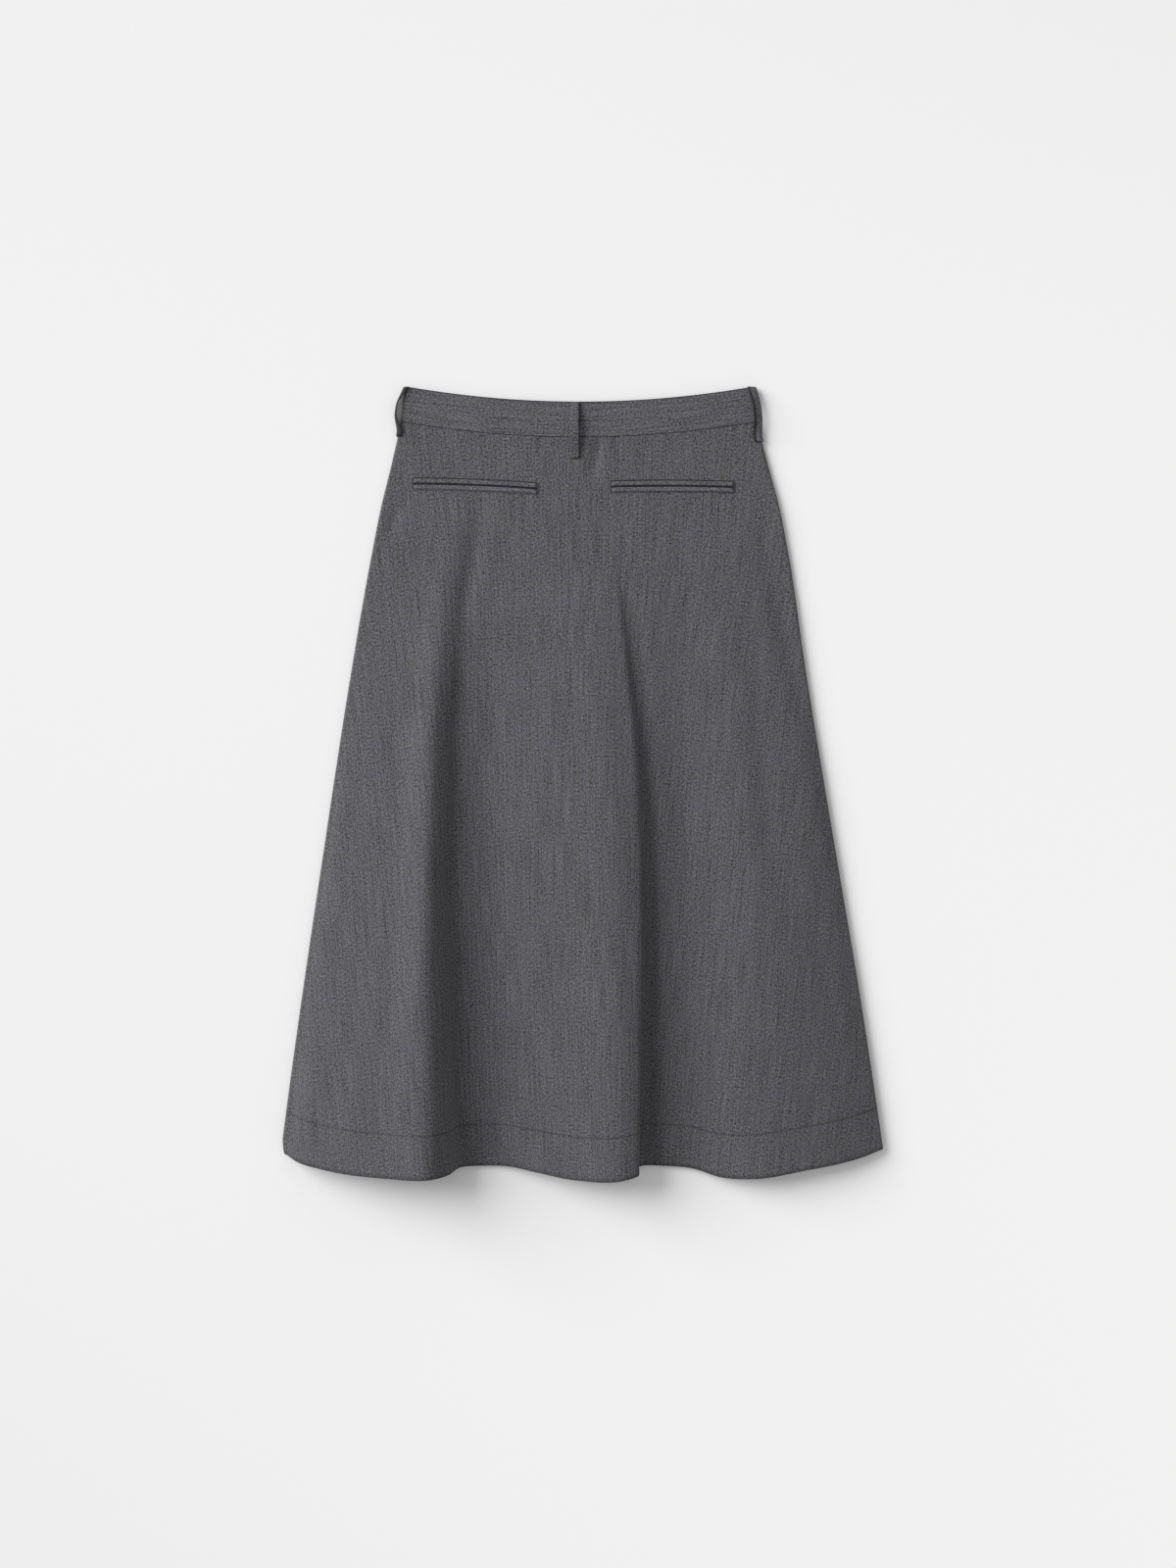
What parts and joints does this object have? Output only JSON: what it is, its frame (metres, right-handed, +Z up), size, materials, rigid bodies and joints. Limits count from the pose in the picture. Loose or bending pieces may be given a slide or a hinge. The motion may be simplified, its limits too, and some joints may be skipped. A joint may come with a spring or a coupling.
{
  "type": "flared skirt",
  "caption": "Flared mid-calf skirt with a straight waistband, belt loops and double-welt back pockets, laid flat with its back up.",
  "frame": {"origin": "middle of the box round the skirt, on the surface that it lies on", "axes": "+Y towards the waist, +X across the skirt towards the wearer's right, +Z up out of the back, away from the surface"},
  "size_m": [0.6099, 0.8054, 0.0532],
  "materials": {
    "suiting": "mid-grey melange suiting, warp down the panel",
    "suiting_across": "the same suiting, cut with its warp across",
    "zip_tape": "woven tape and nylon coil",
    "steel": "pressed steel plate"
  },
  "bodies": {
    "root": {"back": "suiting", "front_left": "suiting", "front_right": "suiting", "loop_left": "suiting", "loop_back": "suiting", "loop_right": "suiting", "waistband": "suiting_across", "welt_upper_left": "suiting_across", "welt_lower_left": "suiting_across", "welt_upper_right": "suiting_across", "welt_lower_right": "suiting_across", "zip": "zip_tape", "waist_hook": "steel", "waist_bar": "steel"}
  },
  "joints": []
}
